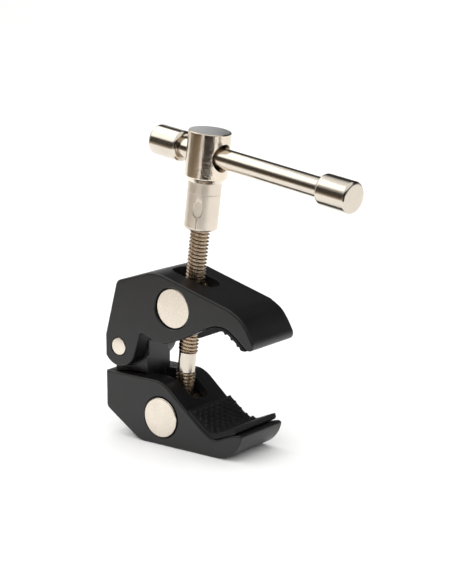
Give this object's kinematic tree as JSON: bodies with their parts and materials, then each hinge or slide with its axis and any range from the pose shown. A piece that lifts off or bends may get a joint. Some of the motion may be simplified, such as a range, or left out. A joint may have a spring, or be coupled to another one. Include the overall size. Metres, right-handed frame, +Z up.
{
  "type": "helping hands clamp",
  "caption": "Hinged two-jaw screw clamp with rubber pads and a sliding T-bar screw, to fix helping-hand arms to a bench edge or tube.",
  "frame": {"origin": "on the flat base of the lower jaw, on the middle plane, in front of the lower slot", "axes": "+Z up from the base towards the handle, +X towards the jaw tips, +Y across the jaws along the hinge pin"},
  "size_m": [0.1168, 0.0289, 0.1295],
  "materials": {
    "jaw_black": "cast aluminium, fine matte black powder coat",
    "pad_rubber": "matte black moulded rubber",
    "nickel_plate": "bright warm nickel plate on turned steel",
    "plain_steel": "plain zinc-plated steel"
  },
  "bodies": {
    "base": {"lower_jaw": "jaw_black", "lower_pad": "pad_rubber"},
    "swing_jaw": {"upper_jaw": "jaw_black", "upper_pad": "pad_rubber", "hinge_pin": "nickel_plate"},
    "upper_nut": {"upper_trunnion_nut": "nickel_plate"},
    "lower_nut": {"lower_trunnion_nut": "nickel_plate"},
    "stop_washer": {"screw_stop_washer": "plain_steel"},
    "screw": {"clamp_screw": "nickel_plate", "handle_hub": "nickel_plate"},
    "bar": {"tommy_bar": "nickel_plate", "bar_cap_left": "nickel_plate", "bar_cap_right": "nickel_plate"}
  },
  "joints": [
    {"name": "jaw_open", "type": "hinge", "parent": "base", "child": "swing_jaw", "pos_m": [-0.033, 0, 0.0381], "axis": [0, -1, 0], "range_deg": [-28.36, 7.89]},
    {"name": "upper_nut_turn", "type": "hinge", "parent": "swing_jaw", "child": "upper_nut", "pos_m": [-0.00492, 0, 0.05791], "axis": [0, -1, 0], "range_deg": [-3.95, 14.18]},
    {"name": "lower_nut_turn", "type": "hinge", "parent": "base", "child": "lower_nut", "pos_m": [-0.01083, 0, 0.01184], "axis": [0, -1, 0], "range_deg": [-14.18, 3.95]},
    {"name": "screw_travel", "type": "slide", "parent": "lower_nut", "child": "stop_washer", "axis": [0.1273, 0, 0.9919], "range_m": [-0.00676, 0.00188]},
    {"name": "screw_spin", "type": "hinge", "parent": "stop_washer", "child": "screw", "pos_m": [-0.01083, 0, 0.01184], "axis": [0.1273, 0, 0.9919], "range_deg": [-1620, 450]},
    {"name": "bar_slide", "type": "slide", "parent": "screw", "child": "bar", "axis": [0.9887, -0.0802, -0.1269], "range_m": [-0.0499, 0.0036]}
  ],
  "couplings": [
    {"joint": "jaw_open", "follows": "screw_spin", "ratio": 0.0175},
    {"joint": "upper_nut_turn", "follows": "screw_spin", "ratio": -0.00875},
    {"joint": "lower_nut_turn", "follows": "screw_spin", "ratio": 0.00875},
    {"joint": "screw_travel", "follows": "screw_spin", "m_per_rad": 0.00023873}
  ]
}
